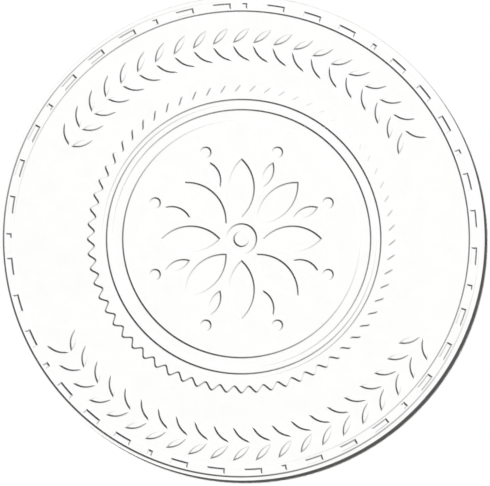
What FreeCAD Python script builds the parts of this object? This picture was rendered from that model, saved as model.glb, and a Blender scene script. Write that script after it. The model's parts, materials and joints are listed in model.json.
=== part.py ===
import FreeCAD, Part
import math
import os

from FreeCAD import Vector

# Desk seal embosser: a lever press that squeezes paper between two round dies, with one embossed
# paper seal lying on the desk in front of it.
# The origin is on the desk under the axis of the dies. +Y runs back along the frame, +Z is up.

# ---------------- driving sizes, mm ----------------

overlap = 1.0                   # joined shapes run this far into each other, cutters this far out
edge_slack = 0.01               # slack for telling edges apart by where they lie

# seal pattern, shared by both dies and the paper seal
seal_diameter = 41.7
rim_width = 0.26
band_width = 0.87
dash_width = 0.40
long_dash_angle = 4.13
short_dash_angle = 0.98
dash_gap_angle = 5.095
dash_run_count = 3              # long dashes between two short ones
dash_start_angle = 0.25
short_dash_count = 11
tooth_count = 64
tooth_height = 0.56
field_width = 6.675
ring_a_radius = 12.06
ring_a_width = 0.38
ring_b_radius = 11.18
ring_b_width = 0.90
relief_height = 0.40
leaf_length = 1.75
leaf_breadth = 0.45
leaf_lean = 48.0                # from the radius through the leaf
leaf_stem_offset = 0.78         # leaf middle from the line of the stem
leaf_pair_count = 21
leaf_arc_angle = 118.0
upper_leaf_radius = 16.85
lower_leaf_radius = 17.75
petal_count = 8
petal_length = 5.0
petal_breadth = 2.2
petal_inner_radius = 1.9
dart_length = 2.2
dart_breadth = 0.80
dart_circle_radius = 6.0
bead_radius = 0.45
bead_circle_radius = 8.1
hub_ring_radius = 1.30
hub_hole_radius = 0.65

# base
foot_height = 4.0
foot_radius = 8.0
foot_screw_radius = 2.0
foot_screw_depth = 7.0
foot_edge_round = 0.8
foot_floor = 1.5                # rubber under the head of each foot screw
foot_recess_radius = 4.4
foot_screw_head_radius = 4.0
foot_screw_head_height = 1.6
foot_screw_slot_width = 0.8
foot_screw_slot_depth = 0.7
foot_inset_x = 10.0
foot_inset_y = 12.0
base_width = 70.0
base_front = 36.0               # from the die axis to the front edge
base_rear = 150.0               # from the die axis to the rear edge
base_thickness = 12.0
base_corner_radius = 14.0
base_edge_round = 4.0
desk_hole_radius = 2.75
desk_hole_spacing_x = 52.0
desk_hole_spacing_y = 62.0
desk_hole_centre_y = 81.0
pedestal_height = 5.0
pedestal_radius = 27.5

# dies and their holders
paper_gap = 0.26                # between the die faces, lever fully down
die_rim_depth = 5.0
die_proud = 1.0
die_seat_clearance = 0.05
holder_floor = 5.0
holder_wall = 3.2
holder_bevel = 0.8
holder_register_depth = 1.5
register_clearance = 0.1
counter_margin = 0.06
counter_extra_depth = 0.10
dowel_radius = 1.5
dowel_length = 6.0
dowel_offset = 14.0
set_screw_radius = 1.5
set_screw_length = 3.0
set_screw_count = 3
set_screw_socket_depth = 1.2
holder_screw_radius = 3.0
holder_screw_length = 14.0
holder_screw_head_radius = 5.5
holder_screw_head_height = 2.8
holder_screw_head_clearance = 0.1
holder_screw_socket_flats = 4.8
holder_screw_socket_depth = 2.0

# head, ram and return spring
head_radius = 25.0
head_height = 38.0
buffer_thickness = 2.0
buffer_radius = 22.0
buffer_bush_clearance = 0.2
bush_length = 12.0
bush_wall = 2.95
ram_radius = 11.0
running_clearance = 0.05
ram_relief = 1.5                # free ring around the ram between the bushes
spring_length = 17.0
spring_wire_radius = 0.9
spring_turns = 4.5
spring_arc_count = 8            # arcs in one turn of the coil
spring_ram_gap = 1.1
spring_end_gap = 0.05
collar_radius = 15.0
collar_thickness = 4.0
collar_chamfer = 1.0
clip_thickness = 1.3
clip_radius = 13.0
clip_groove_depth = 0.8
clip_mouth_width = 5.0
clip_shoulder = 1.5             # full-size ram above the clip
ram_above_clip = 8.0
button_radius = 7.5
button_edge_round = 0.8
button_flange = 3.0
button_stem_radius = 4.0
button_stem_length = 9.0
guide_screw_radius = 3.0
guide_screw_head_radius = 5.0
guide_screw_head_height = 4.0
guide_screw_head_round = 0.8
guide_tip_radius = 2.0
keyway_depth = 2.6
keyway_clearance = 0.15
guide_boss_radius = 7.0
guide_boss_reach = 26.5
boss_edge_round = 1.2

# frame arch
web_thickness = 26.0
throat_depth = 62.0
throat_corner_radius = 10.0
column_depth = 46.0
shoulder_radius = 31.0
rear_foot_radius = 24.0
casting_edge_round = 3.0
shoulder_run = 55.0             # how far back the head tapers into the web

# lever
crank_radius = 16.0             # pivot to roller axis
lever_sweep = 28.0
lever_rise = 34.0               # lever above level at rest
pivot_pin_radius = 5.0
pivot_bush_wall = 1.5
pivot_fit = 0.02
bush_flange_radius = 8.5
bush_flange = 2.85
pivot_head_radius = 8.0
pivot_head_height = 3.5
pivot_head_round = 1.0
pin_clip_thickness = 1.2
pin_clip_radius = 7.5
pin_clip_mouth_width = 8.0
pin_tail = 3.0
lug_gap = 28.0
lug_thickness = 7.0
lug_radius = 11.0
lug_rear_offset = 12.0
nose_depth = 25.0
nose_front_depth = 11.0
lug_edge_round = 1.5
roller_radius = 7.0
roller_width = 10.0
roller_side_clearance = 0.4
roller_edge_round = 0.6
roller_room_margin = 1.0
roller_pin_radius = 3.0
roller_contact_gap = 0.05
cheek_wall = 3.0
hub_width = 22.0
hub_radius = 10.0
arm_width = 13.0
arm_height_front = 15.0
arm_height_rear = 12.0
arm_length = 98.0               # pivot to the front of the grip ferrule
arm_round = 2.5
arm_root = 3.0                  # start of the beam, in front of the pivot
arm_taper_start = 24.0          # where the beam begins to narrow, behind the pivot
arm_taper_end = 42.0
tang_radius = 5.0
tang_length = 56.0
ferrule_radius = 9.0
ferrule_length = 6.0
ferrule_chamfer = 1.0
grip_length = 66.0
grip_radius = 12.0
grip_neck_radius = 9.5
grip_shoulder_radius = 11.1
grip_shoulder_length = 14.0
grip_belly_length = 40.92
grip_end_radius = 11.0
cap_length = 6.0
cap_round = 3.6

# press depth stop
stop_distance = 45.0            # behind the die axis
stop_boss_radius = 8.0
stop_boss_height = 14.0
stop_screw_radius = 4.0
stop_screw_depth = 16.0
stop_head_height = 5.5
hex_across_flats = 13.0
hex_face_share = 0.95           # flat face of a hexagon, as a share of its width across flats
hex_corner_slope = 30.0
jam_nut_height = 4.5
stop_clearance = 0.15

# paper gauge
gauge_rest = 28.0               # front face of the fence behind the die axis
gauge_travel = 9.0
fence_width = 50.0
fence_height = 15.0
fence_thickness = 2.0
fence_corner_round = 4.0
strip_width = 16.0
strip_thickness = 2.0
strip_length = 22.0
strip_groove_depth = 1.0
strip_head_room = 1.5           # free height over the strip at the back of the throat
strip_side_clearance = 0.1
thumb_screw_radius = 2.0
thumb_screw_clearance = 0.15
thumb_screw_depth = 12.0
thumb_screw_end_gap = 0.5
thumb_thread_fit = 0.02
thumb_head_radius = 5.5
thumb_head_height = 6.0
thumb_neck_height = 1.2
thumb_neck_radius = 3.85
thumb_edge_round = 0.6
thumb_tail_margin = 4.0         # screw axis from the rear end of the strip
knurl_count = 24
knurl_radius = 0.55
knurl_outset = 0.25
gauge_washer_radius = 5.0
gauge_washer_thickness = 0.8

# paper seal on the desk
seal_x = -52.0
seal_y = -64.0
paper_thickness = 0.30
paper_diameter = 41.91          # cut by hand, so not quite centred on the pattern
paper_shift_x = 0.104
paper_shift_y = 0.040

# ---------------- levels and places worked out from them ----------------

X = Vector(1, 0, 0)
Y = Vector(0, 1, 0)
Z = Vector(0, 0, 1)

die_radius = seal_diameter / 2
press_travel = 2 * crank_radius * math.sin(math.radians(lever_sweep / 2))
die_thickness = die_rim_depth + die_proud
holder_height = holder_floor + die_rim_depth
holder_radius = die_radius + die_seat_clearance + holder_wall

base_top = foot_height + base_thickness
pedestal_top = base_top + pedestal_height
lower_face = pedestal_top + holder_floor + die_thickness
upper_face = lower_face + press_travel + paper_gap
upper_holder_top = upper_face + die_proud + holder_height
head_bottom = upper_holder_top + buffer_thickness
head_top = head_bottom + head_height
ram_bottom = upper_holder_top - holder_register_depth
collar_bottom = head_top + spring_length
clip_bottom = collar_bottom + collar_thickness
ram_top = clip_bottom + clip_thickness + ram_above_clip
button_top = ram_top + button_flange

half_sweep = math.radians(lever_sweep / 2)
roller_z = button_top + roller_contact_gap + roller_radius
roller_y = -crank_radius + crank_radius * math.cos(half_sweep)
pivot_y = -crank_radius
pivot_z = roller_z - crank_radius * math.sin(half_sweep)
bush_outer = pivot_pin_radius + running_clearance + pivot_bush_wall
lug_inner = lug_gap / 2
lug_outer = lug_inner + lug_thickness
roller_slot = roller_width / 2 + roller_side_clearance
roller_room = roller_radius + roller_room_margin

guide_bush_outer = ram_radius + running_clearance + bush_wall
guide_z = head_bottom + head_height / 2
keyway_bottom = guide_z - guide_tip_radius - keyway_clearance
keyway_top = guide_z + press_travel + guide_tip_radius + keyway_clearance

column_rear = throat_depth + column_depth
rib_top = pedestal_top
groove_floor = rib_top - strip_groove_depth
thumb_y = gauge_rest + strip_length - thumb_tail_margin
foot_x = base_width / 2 - foot_inset_x
foot_front_y = foot_inset_y - base_front
foot_rear_y = base_rear - foot_inset_y


# ---------------- building helpers ----------------

def rod(radius, length, start, direction=Z):
    return Part.makeCylinder(radius, length, start, direction)


def tube(outer, inner, z0, z1, x=0.0, y=0.0):
    body = rod(outer, z1 - z0, Vector(x, y, z0))
    return body.cut(rod(inner, z1 - z0, Vector(x, y, z0)))


def block(x0, x1, y0, y1, z0, z1):
    return Part.makeBox(x1 - x0, y1 - y0, z1 - z0, Vector(x0, y0, z0))


def ring_of_revolution(points):
    """Turn an outline of (radius, height) points about the Z axis."""
    outline = [Vector(r, 0, z) for r, z in points]
    face = Part.Face(Part.makePolygon(outline + outline[:1]))
    return face.revolve(Vector(0, 0, 0), Z, 360)


def hexagon(across_flats, z0, z1, y=0.0):
    corner = across_flats / math.sqrt(3)
    points = []
    for k in range(6):
        turn = math.radians(60 * k)
        points.append(Vector(corner * math.cos(turn), y + corner * math.sin(turn), z0))
    face = Part.Face(Part.makePolygon(points + points[:1]))
    return face.extrude(Z * (z1 - z0))


def turned_hexagon(across_flats, z0, z1, y):
    """A nut blank: a hexagon with its corners turned off at both ends."""
    face_radius = hex_face_share * across_flats / 2
    outer = across_flats / math.sqrt(3) + overlap
    rise = (outer - face_radius) * math.tan(math.radians(hex_corner_slope))
    turned = ring_of_revolution([(0, z0), (face_radius, z0), (outer, z0 + rise),
                                 (outer, z1 - rise), (face_radius, z1), (0, z1)])
    turned.translate(Y * y)
    return hexagon(across_flats, z0, z1, y).common(turned)


def side_profile(edges, x0, x1):
    """Extrude a closed outline, drawn in the YZ plane, from x0 to x1."""
    face = Part.Face(Part.Wire(edges))
    face.translate(Vector(x0, 0, 0))
    return face.extrude(Vector(x1 - x0, 0, 0))


def line(a, b):
    return Part.LineSegment(Vector(0, *a), Vector(0, *b)).toShape()


def arc(a, middle, b):
    return Part.Arc(Vector(0, *a), Vector(0, *middle), Vector(0, *b)).toShape()


def corner_middle(centre, radius, degrees):
    turn = math.radians(degrees)
    return (centre[0] + radius * math.cos(turn), centre[1] + radius * math.sin(turn))


def tangent_point(centre, radius, outside, side):
    """The point of a circle where a line from a point outside touches it."""
    dy = outside[0] - centre[0]
    dz = outside[1] - centre[1]
    reach = math.hypot(dy, dz)
    turn = math.atan2(dz, dy) + side * math.acos(radius / reach)
    return (centre[0] + radius * math.cos(turn), centre[1] + radius * math.sin(turn))


def rounded(shape, radius, chosen):
    """Round the edges that the test picks."""
    edges = [edge for edge in shape.Edges if chosen(edge)]
    return shape.makeFillet(radius, edges)


def save(name, solids):
    """Write one node: a single solid, or a group of separate solids."""
    shape = solids[0] if len(solids) == 1 else Part.makeCompound(solids)
    shape.exportStep("parts/" + name + ".step")


# ---------------- the seal pattern ----------------
# Angles run clockwise from the top of the seal, which points to +Y.

def on_circle(radius, degrees, z=0.0):
    turn = math.radians(degrees)
    return Vector(radius * math.sin(turn), radius * math.cos(turn), z)


def sector(inner, outer, start, end, z0, z1):
    """A curved block between two radii and two angles."""
    middle = (start + end) / 2
    outer_arc = Part.Arc(on_circle(outer, start, z0), on_circle(outer, middle, z0),
                         on_circle(outer, end, z0)).toShape()
    inner_arc = Part.Arc(on_circle(inner, end, z0), on_circle(inner, middle, z0),
                         on_circle(inner, start, z0)).toShape()
    side_a = Part.LineSegment(on_circle(outer, end, z0), on_circle(inner, end, z0)).toShape()
    side_b = Part.LineSegment(on_circle(inner, start, z0), on_circle(outer, start, z0)).toShape()
    face = Part.Face(Part.Wire([outer_arc, side_a, inner_arc, side_b]))
    return face.extrude(Z * (z1 - z0))


def blade(radius, degrees, length, breadth, lean, z0, z1):
    """A pointed leaf: two equal arcs between two tips, leaning away from the radius."""
    half_length = length / 2
    half_breadth = breadth / 2
    tip_a = Vector(0, -half_length, z0)
    tip_b = Vector(0, half_length, z0)
    right = Part.Arc(tip_a, Vector(half_breadth, 0, z0), tip_b).toShape()
    left = Part.Arc(tip_b, Vector(-half_breadth, 0, z0), tip_a).toShape()
    leaf = Part.Face(Part.Wire([right, left])).extrude(Z * (z1 - z0))
    leaf.rotate(Vector(0, 0, 0), Z, -(degrees + lean))
    leaf.translate(on_circle(radius, degrees))
    return leaf


def dash_marks():
    """Start and end angle of every dash, in order round the band."""
    marks = []
    turn = dash_start_angle
    for group in range(short_dash_count):
        marks.append((turn, turn + short_dash_angle))
        turn += short_dash_angle + dash_gap_angle
        longs = dash_run_count if group < short_dash_count - 1 else dash_run_count - 1
        for _ in range(longs):
            marks.append((turn, turn + long_dash_angle))
            turn += long_dash_angle + dash_gap_angle
    return marks


band_outer = die_radius - rim_width
band_inner = band_outer - band_width
dash_middle = (band_outer + band_inner) / 2
zigzag_outer = band_inner - field_width + tooth_height / 2
zigzag_inner = zigzag_outer - tooth_height


def zigzag_field(z0, z1):
    """The broad raised field, with teeth along its inner edge."""
    points = []
    for k in range(2 * tooth_count):
        radius = zigzag_inner if k % 2 else zigzag_outer
        points.append(on_circle(radius, k * 180.0 / tooth_count, z0))
    teeth = Part.Face(Part.makePolygon(points + points[:1])).extrude(Z * (z1 - z0))
    return rod(band_inner, z1 - z0, Vector(0, 0, z0)).cut(teeth)


def rosette(z0, z1, margin):
    """Petals about a hub ring, with a dart and a bead between each two petals."""
    shapes = [tube(hub_ring_radius + margin, hub_hole_radius - margin, z0, z1)]
    petal_middle = petal_inner_radius + petal_length / 2
    for k in range(petal_count):
        turn = k * 360.0 / petal_count
        between = turn + 180.0 / petal_count
        shapes.append(blade(petal_middle, turn, petal_length + 2 * margin,
                            petal_breadth + 2 * margin, 0.0, z0, z1))
        shapes.append(blade(dart_circle_radius, between, dart_length + 2 * margin,
                            dart_breadth + 2 * margin, 0.0, z0, z1))
        shapes.append(rod(bead_radius + margin, z1 - z0, on_circle(bead_circle_radius, between, z0)))
    return shapes


def garland(z0, z1, margin):
    """Two sprays of paired leaves, one along the top of the field and one along the bottom."""
    leaves = []
    length = leaf_length + 2 * margin
    breadth = leaf_breadth + 2 * margin
    step = leaf_arc_angle / (leaf_pair_count - 1)
    for centre, radius in ((0.0, upper_leaf_radius), (180.0, lower_leaf_radius)):
        for k in range(leaf_pair_count):
            turn = centre - leaf_arc_angle / 2 + k * step
            for offset, lean in ((leaf_stem_offset, leaf_lean),
                                 (-leaf_stem_offset, 180.0 - leaf_lean)):
                leaves.append(blade(radius + offset, turn, length, breadth, lean, z0, z1))
    return leaves


def raised_pattern(ground, disc):
    """Everything that stands above the ground, inside a disc: the male die's or the paper's."""
    top = ground + relief_height
    shapes = [disc.cut(rod(band_outer, relief_height, Vector(0, 0, ground))),
              zigzag_field(ground, top).cut(garland(ground, top, 0.0))]
    for start, end in dash_marks():
        shapes.append(sector(dash_middle - dash_width / 2, dash_middle + dash_width / 2,
                             start, end, ground, top))
    shapes.append(tube(ring_a_radius, ring_a_radius - ring_a_width, ground, top))
    shapes.append(tube(ring_b_radius, ring_b_radius - ring_b_width, ground, top))
    return shapes + rosette(ground, top, 0.0)


# ---------------- dies and holders ----------------
# The two die sets are alike. Each is drawn standing up, and the upper one is then turned over.

def turned_over(shape, foot_z):
    """Turn a shape drawn upwards from z = 0 so that it hangs from foot_z."""
    copy = shape.copy()
    copy.rotate(Vector(0, 0, 0), Y, 180)
    copy.translate(Z * foot_z)
    return copy


def standing(shape, foot_z):
    copy = shape.copy()
    copy.translate(Z * foot_z)
    return copy


def dowel_pin():
    return rod(dowel_radius, dowel_length, Vector(0, dowel_offset, holder_floor - dowel_length / 2))


def grub_screws(with_sockets):
    """Radial screws through the rim of a holder, each pressing on the side of the die."""
    screws = []
    height = holder_floor + die_rim_depth / 2
    for k in range(set_screw_count):
        out = on_circle(1.0, 90.0 + k * 360.0 / set_screw_count)
        length = set_screw_length if with_sockets else holder_wall + die_seat_clearance + overlap
        screw = rod(set_screw_radius, length, out * die_radius + Z * height, out)
        if with_sockets:
            mouth = out * (die_radius + length - set_screw_socket_depth) + Z * height
            screw = screw.cut(rod(set_screw_radius / 2, set_screw_socket_depth, mouth, out))
        screws.append(screw)
    return screws


def holder():
    """A cup for a die, with a register at its foot for the part that carries it."""
    shape = ring_of_revolution([(0, 0), (holder_radius - holder_bevel, 0),
                                (holder_radius, holder_bevel),
                                (holder_radius, holder_height - holder_bevel),
                                (holder_radius - holder_bevel, holder_height),
                                (0, holder_height)])
    recess = rod(die_radius + die_seat_clearance, die_rim_depth, Vector(0, 0, holder_floor))
    register = rod(ram_radius, holder_register_depth, Vector(0, 0, 0))
    head_seat = rod(holder_screw_head_radius, holder_screw_head_height,
                    Vector(0, 0, holder_floor - holder_screw_head_height))
    screw_hole = rod(holder_screw_radius, holder_floor, Vector(0, 0, 0))
    return shape.cut([recess, register, head_seat, screw_hole, dowel_pin()] + grub_screws(False))


def holder_screw():
    """The socket screw that holds a cup by its floor, threaded downwards from it."""
    head = rod(holder_screw_head_radius - holder_screw_head_clearance, holder_screw_head_height,
               Vector(0, 0, holder_floor - holder_screw_head_height))
    shank_length = holder_screw_length - holder_screw_head_height
    shank = rod(holder_screw_radius, shank_length, Vector(0, 0, holder_floor - holder_screw_length))
    socket = hexagon(holder_screw_socket_flats, holder_floor - holder_screw_socket_depth, holder_floor)
    return head.fuse(shank).cut(socket)


def lower_die():
    plate = rod(die_radius, die_thickness, Vector(0, 0, lower_face - die_thickness))
    plate = plate.cut(standing(dowel_pin(), pedestal_top))
    disc = rod(die_radius, relief_height, Vector(0, 0, lower_face))
    return plate.multiFuse(raised_pattern(lower_face, disc))


def upper_die():
    """The recessed die: a plate with lands wherever the male die is low."""
    depth = relief_height + counter_extra_depth
    land_top = upper_face + depth
    plate = rod(die_radius, die_thickness - depth, Vector(0, 0, land_top))
    plate = plate.cut(turned_over(dowel_pin(), upper_holder_top))
    centre = rod(ring_b_radius - ring_b_width - counter_margin, depth, Vector(0, 0, upper_face))
    centre = centre.cut(rosette(upper_face, land_top, counter_margin))
    lands = [centre]
    lands.append(tube(ring_a_radius - ring_a_width - counter_margin, ring_b_radius + counter_margin,
                      upper_face, land_top))
    lands.append(tube(zigzag_inner - counter_margin, ring_a_radius + counter_margin,
                      upper_face, land_top))
    lands += garland(upper_face, land_top, -counter_margin)
    marks = dash_marks()
    side = math.degrees(counter_margin / dash_middle)
    for k, (start, end) in enumerate(marks):
        next_start = marks[k + 1][0] if k + 1 < len(marks) else marks[0][0] + 360.0
        lands.append(sector(band_inner + counter_margin, band_outer - counter_margin,
                            end + side, next_start - side, upper_face, land_top))
    return plate.multiFuse(lands)


# ---------------- frame ----------------

def teardrop(radius, z0, z1, reach, rounded_levels):
    """A disc whose two sides run back by tangents to the width of the web."""
    half = web_thickness / 2
    touch = tangent_point((0.0, 0.0), radius, (half, reach), -1)
    points = [Vector(touch[0], touch[1], z0), Vector(half, reach, z0), Vector(-half, reach, z0),
              Vector(-touch[0], touch[1], z0)]
    wedge = Part.Face(Part.makePolygon(points + points[:1])).extrude(Z * (z1 - z0))
    shape = rod(radius, z1 - z0, Vector(0, 0, z0)).fuse(wedge).removeSplitter()
    return rounded(shape, casting_edge_round, lambda e: e.BoundBox.ZLength < edge_slack
                   and e.BoundBox.YMin < reach - edge_slack
                   and min(abs(e.BoundBox.ZMin - z) for z in rounded_levels) < edge_slack)


def base_plate():
    plate = block(-base_width / 2, base_width / 2, -base_front, base_rear, foot_height, base_top)
    plate = rounded(plate, base_corner_radius,
                    lambda e: abs(e.BoundBox.ZLength - base_thickness) < edge_slack)
    return rounded(plate, base_edge_round, lambda e: e.BoundBox.ZMin > base_top - edge_slack)


def web():
    """The C-shaped arch, seen from the side."""
    r = throat_corner_radius
    roof = (throat_depth - r, head_bottom - r)
    floor = (throat_depth - r, rib_top + r)
    heel = (column_rear + rear_foot_radius, base_top + rear_foot_radius)
    brow = (column_rear - shoulder_radius, head_top - shoulder_radius)
    edges = [
        line((0, base_top), (heel[0], base_top)),
        arc((heel[0], base_top), corner_middle(heel, rear_foot_radius, 225), (column_rear, heel[1])),
        line((column_rear, heel[1]), (column_rear, brow[1])),
        arc((column_rear, brow[1]), corner_middle(brow, shoulder_radius, 45), (brow[0], head_top)),
        line((brow[0], head_top), (0, head_top)),
        line((0, head_top), (0, head_bottom)),
        line((0, head_bottom), (roof[0], head_bottom)),
        arc((roof[0], head_bottom), corner_middle(roof, r, 45), (throat_depth, roof[1])),
        line((throat_depth, roof[1]), (throat_depth, floor[1])),
        arc((throat_depth, floor[1]), corner_middle(floor, r, -45), (floor[0], rib_top)),
        line((floor[0], rib_top), (0, rib_top)),
        line((0, rib_top), (0, base_top)),
    ]
    half = web_thickness / 2
    shape = side_profile(edges, -half, half)
    return rounded(shape, casting_edge_round, lambda e: e.BoundBox.XLength < edge_slack
                   and e.BoundBox.YMax > edge_slack and e.BoundBox.ZMin > base_top + edge_slack)


def lugs():
    """Two ears that carry the pivot pin, on one nose in front of the head."""
    front = pivot_y - lug_radius
    rear = -lug_rear_offset
    touch = tangent_point((pivot_y, pivot_z), lug_radius, (rear, head_top), 1)
    nose_top = head_top - nose_front_depth
    edges = [
        line((rear, head_top - nose_depth), (front, nose_top)),
        line((front, nose_top), (front, pivot_z)),
        arc((front, pivot_z), corner_middle((pivot_y, pivot_z), lug_radius, 75), touch),
        line(touch, (rear, head_top)),
        line((rear, head_top), (rear, head_top - nose_depth)),
    ]
    shape = side_profile(edges, -lug_outer, lug_outer)
    shape = rounded(shape, lug_edge_round,
                    lambda e: e.BoundBox.XLength < edge_slack and e.BoundBox.ZMax > nose_top
                    and abs(e.BoundBox.YMax - rear) > edge_slack)
    gap_top = pivot_z + lug_radius + overlap
    gap = block(-lug_inner, lug_inner, front - overlap, pivot_y + 2 * lug_radius, head_top, gap_top)
    pin_hole = rod(pivot_pin_radius + pivot_fit, 2 * (lug_outer + overlap),
                   Vector(-lug_outer - overlap, pivot_y, pivot_z), X)
    return shape.cut([gap, pin_hole])


def desk_holes():
    holes = []
    for side in (-1, 1):
        for end in (-1, 1):
            place = Vector(side * desk_hole_spacing_x / 2,
                           desk_hole_centre_y + end * desk_hole_spacing_y / 2, foot_height - overlap)
            holes.append(rod(desk_hole_radius, base_thickness + 2 * overlap, place))
    return holes


def foot_places():
    return [Vector(side * foot_x, y, 0) for y in (foot_front_y, foot_rear_y) for side in (-1, 1)]


def frame_casting():
    stop_boss = rod(stop_boss_radius, stop_boss_height + overlap,
                    Vector(0, stop_distance, head_top - overlap))
    stop_boss = rounded(stop_boss, boss_edge_round,
                        lambda e: e.BoundBox.ZMin > head_top + stop_boss_height - edge_slack)
    guide_boss = rod(guide_boss_radius, guide_boss_reach - head_radius / 2,
                     Vector(head_radius / 2, 0, guide_z), X)
    guide_boss = rounded(guide_boss, boss_edge_round,
                         lambda e: e.BoundBox.XMin > guide_boss_reach - edge_slack)
    shape = base_plate().multiFuse([
        web(),
        teardrop(pedestal_radius, base_top - overlap, pedestal_top, shoulder_run, [pedestal_top]),
        teardrop(head_radius, head_bottom, head_top, shoulder_run, [head_bottom, head_top]),
        rod(ram_radius - register_clearance, holder_register_depth + overlap,
            Vector(0, 0, pedestal_top - overlap)),
        lugs(),
        stop_boss,
        guide_boss,
    ])
    bush_seats = [rod(guide_bush_outer, bush_length, Vector(0, 0, head_bottom)),
                  rod(guide_bush_outer, bush_length, Vector(0, 0, head_top - bush_length))]
    cuts = bush_seats + desk_holes()
    cuts.append(rod(ram_radius + ram_relief, head_height + 2 * overlap,
                    Vector(0, 0, head_bottom - overlap)))
    cuts.append(rod(guide_screw_radius, guide_boss_reach, Vector(ram_radius, 0, guide_z), X))
    cuts.append(rod(stop_screw_radius, stop_screw_depth + overlap,
                    Vector(0, stop_distance, head_top + stop_boss_height - stop_screw_depth)))
    screw_bottom = pedestal_top + holder_floor - holder_screw_length
    cuts.append(rod(holder_screw_radius, holder_screw_length, Vector(0, 0, screw_bottom)))
    cuts.append(rod(thumb_screw_radius, thumb_screw_depth + overlap,
                    Vector(0, thumb_y, groove_floor - thumb_screw_depth)))
    half_groove = strip_width / 2 + strip_side_clearance
    groove_top = groove_floor + strip_thickness + strip_head_room
    cuts.append(block(-half_groove, half_groove, pedestal_radius, throat_depth, groove_floor,
                      groove_top))
    for place in foot_places():
        cuts.append(rod(foot_screw_radius, foot_screw_depth, place + Z * foot_height))
    return shape.cut(cuts).removeSplitter()


def guide_bush(z0):
    return tube(guide_bush_outer, ram_radius + running_clearance, z0, z0 + bush_length)


def guide_screw():
    """A dog-point screw whose tip rides in the keyway of the ram."""
    tip_start = ram_radius - keyway_depth + keyway_clearance
    thread_start = ram_radius + ram_relief
    tip = rod(guide_tip_radius, thread_start - tip_start, Vector(tip_start, 0, guide_z), X)
    thread = rod(guide_screw_radius, guide_boss_reach - thread_start,
                 Vector(thread_start, 0, guide_z), X)
    head = rod(guide_screw_head_radius, guide_screw_head_height,
               Vector(guide_boss_reach, 0, guide_z), X)
    head = rounded(head, guide_screw_head_round, lambda e: e.BoundBox.XMin
                   > guide_boss_reach + guide_screw_head_height - edge_slack)
    socket = hexagon(guide_screw_head_radius, 0, guide_screw_head_height / 2)
    socket.rotate(Vector(0, 0, 0), Y, 90)
    socket.translate(Vector(guide_boss_reach + guide_screw_head_height / 2, 0, guide_z))
    return tip.multiFuse([thread, head]).cut(socket)


def rubber_feet():
    feet = []
    for place in foot_places():
        foot = rod(foot_radius, foot_height, place)
        foot = rounded(foot, foot_edge_round, lambda e: e.BoundBox.ZMax < edge_slack)
        recess = rod(foot_recess_radius, foot_height - foot_floor, place)
        hole = rod(foot_screw_radius, foot_height, place)
        feet.append(foot.cut([recess, hole]))
    return feet


def foot_screws():
    screws = []
    half_slot = foot_screw_slot_width / 2
    for place in foot_places():
        seat = place + Z * (foot_height - foot_floor)
        head_bottom_place = seat - Z * foot_screw_head_height
        head = rod(foot_screw_head_radius, foot_screw_head_height, head_bottom_place)
        shank = rod(foot_screw_radius, foot_screw_depth + foot_floor, seat)
        slot = block(-foot_screw_head_radius, foot_screw_head_radius, -half_slot, half_slot,
                     0, foot_screw_slot_depth)
        slot.translate(head_bottom_place)
        screws.append(head.fuse(shank).cut(slot))
    return screws


def pivot_pin():
    """A headed pin through both ears, grooved at its tail for a clip."""
    shank = rod(pivot_pin_radius, 2 * lug_outer + pin_tail, Vector(-lug_outer, pivot_y, pivot_z), X)
    head = rod(pivot_head_radius, pivot_head_height,
               Vector(-lug_outer - pivot_head_height, pivot_y, pivot_z), X)
    head = rounded(head, pivot_head_round,
                   lambda e: e.BoundBox.XMax < -lug_outer - pivot_head_height + edge_slack)
    groove = rod(pivot_pin_radius, pin_clip_thickness, Vector(lug_outer, pivot_y, pivot_z), X)
    groove = groove.cut(rod(pivot_pin_radius - clip_groove_depth, pin_clip_thickness,
                            Vector(lug_outer, pivot_y, pivot_z), X))
    return shank.fuse(head).cut(groove)


def pin_clip():
    """An E-shaped clip, open at the front."""
    clip = rod(pin_clip_radius, pin_clip_thickness, Vector(lug_outer, pivot_y, pivot_z), X)
    bore = rod(pivot_pin_radius - clip_groove_depth, pin_clip_thickness,
               Vector(lug_outer, pivot_y, pivot_z), X)
    half_mouth = pin_clip_mouth_width / 2
    mouth = block(lug_outer, lug_outer + pin_clip_thickness, pivot_y - pin_clip_radius, pivot_y,
                  pivot_z - half_mouth, pivot_z + half_mouth)
    return clip.cut([bore, mouth])


def stop_screw():
    head_top_z = stop_head_z + stop_head_height
    shank_bottom = head_top + stop_boss_height - stop_screw_depth
    shank = rod(stop_screw_radius, stop_head_z - shank_bottom, Vector(0, stop_distance, shank_bottom))
    head = turned_hexagon(hex_across_flats, stop_head_z, head_top_z, stop_distance)
    return shank.fuse(head)


def jam_nut():
    z0 = head_top + stop_boss_height
    nut = turned_hexagon(hex_across_flats, z0, z0 + jam_nut_height, stop_distance)
    return nut.cut(rod(stop_screw_radius, jam_nut_height, Vector(0, stop_distance, z0)))


# ---------------- ram ----------------

def ram():
    shoulder_top = clip_bottom + clip_thickness + clip_shoulder
    shape = rod(ram_radius, shoulder_top - ram_bottom, Vector(0, 0, ram_bottom))
    shape = shape.fuse(rod(button_radius, ram_top - shoulder_top, Vector(0, 0, shoulder_top)))
    groove = tube(ram_radius + overlap, ram_radius - clip_groove_depth, clip_bottom,
                  clip_bottom + clip_thickness)
    half_key = guide_tip_radius + keyway_clearance
    keyway = block(ram_radius - keyway_depth, ram_radius + overlap, -half_key, half_key,
                   keyway_bottom, keyway_top)
    button_seat = rod(button_stem_radius, button_stem_length,
                      Vector(0, 0, ram_top - button_stem_length))
    screw_depth = holder_screw_length - holder_floor + holder_register_depth
    screw_seat = rod(holder_screw_radius, screw_depth, Vector(0, 0, ram_bottom))
    return shape.cut([groove, keyway, button_seat, screw_seat])


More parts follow.
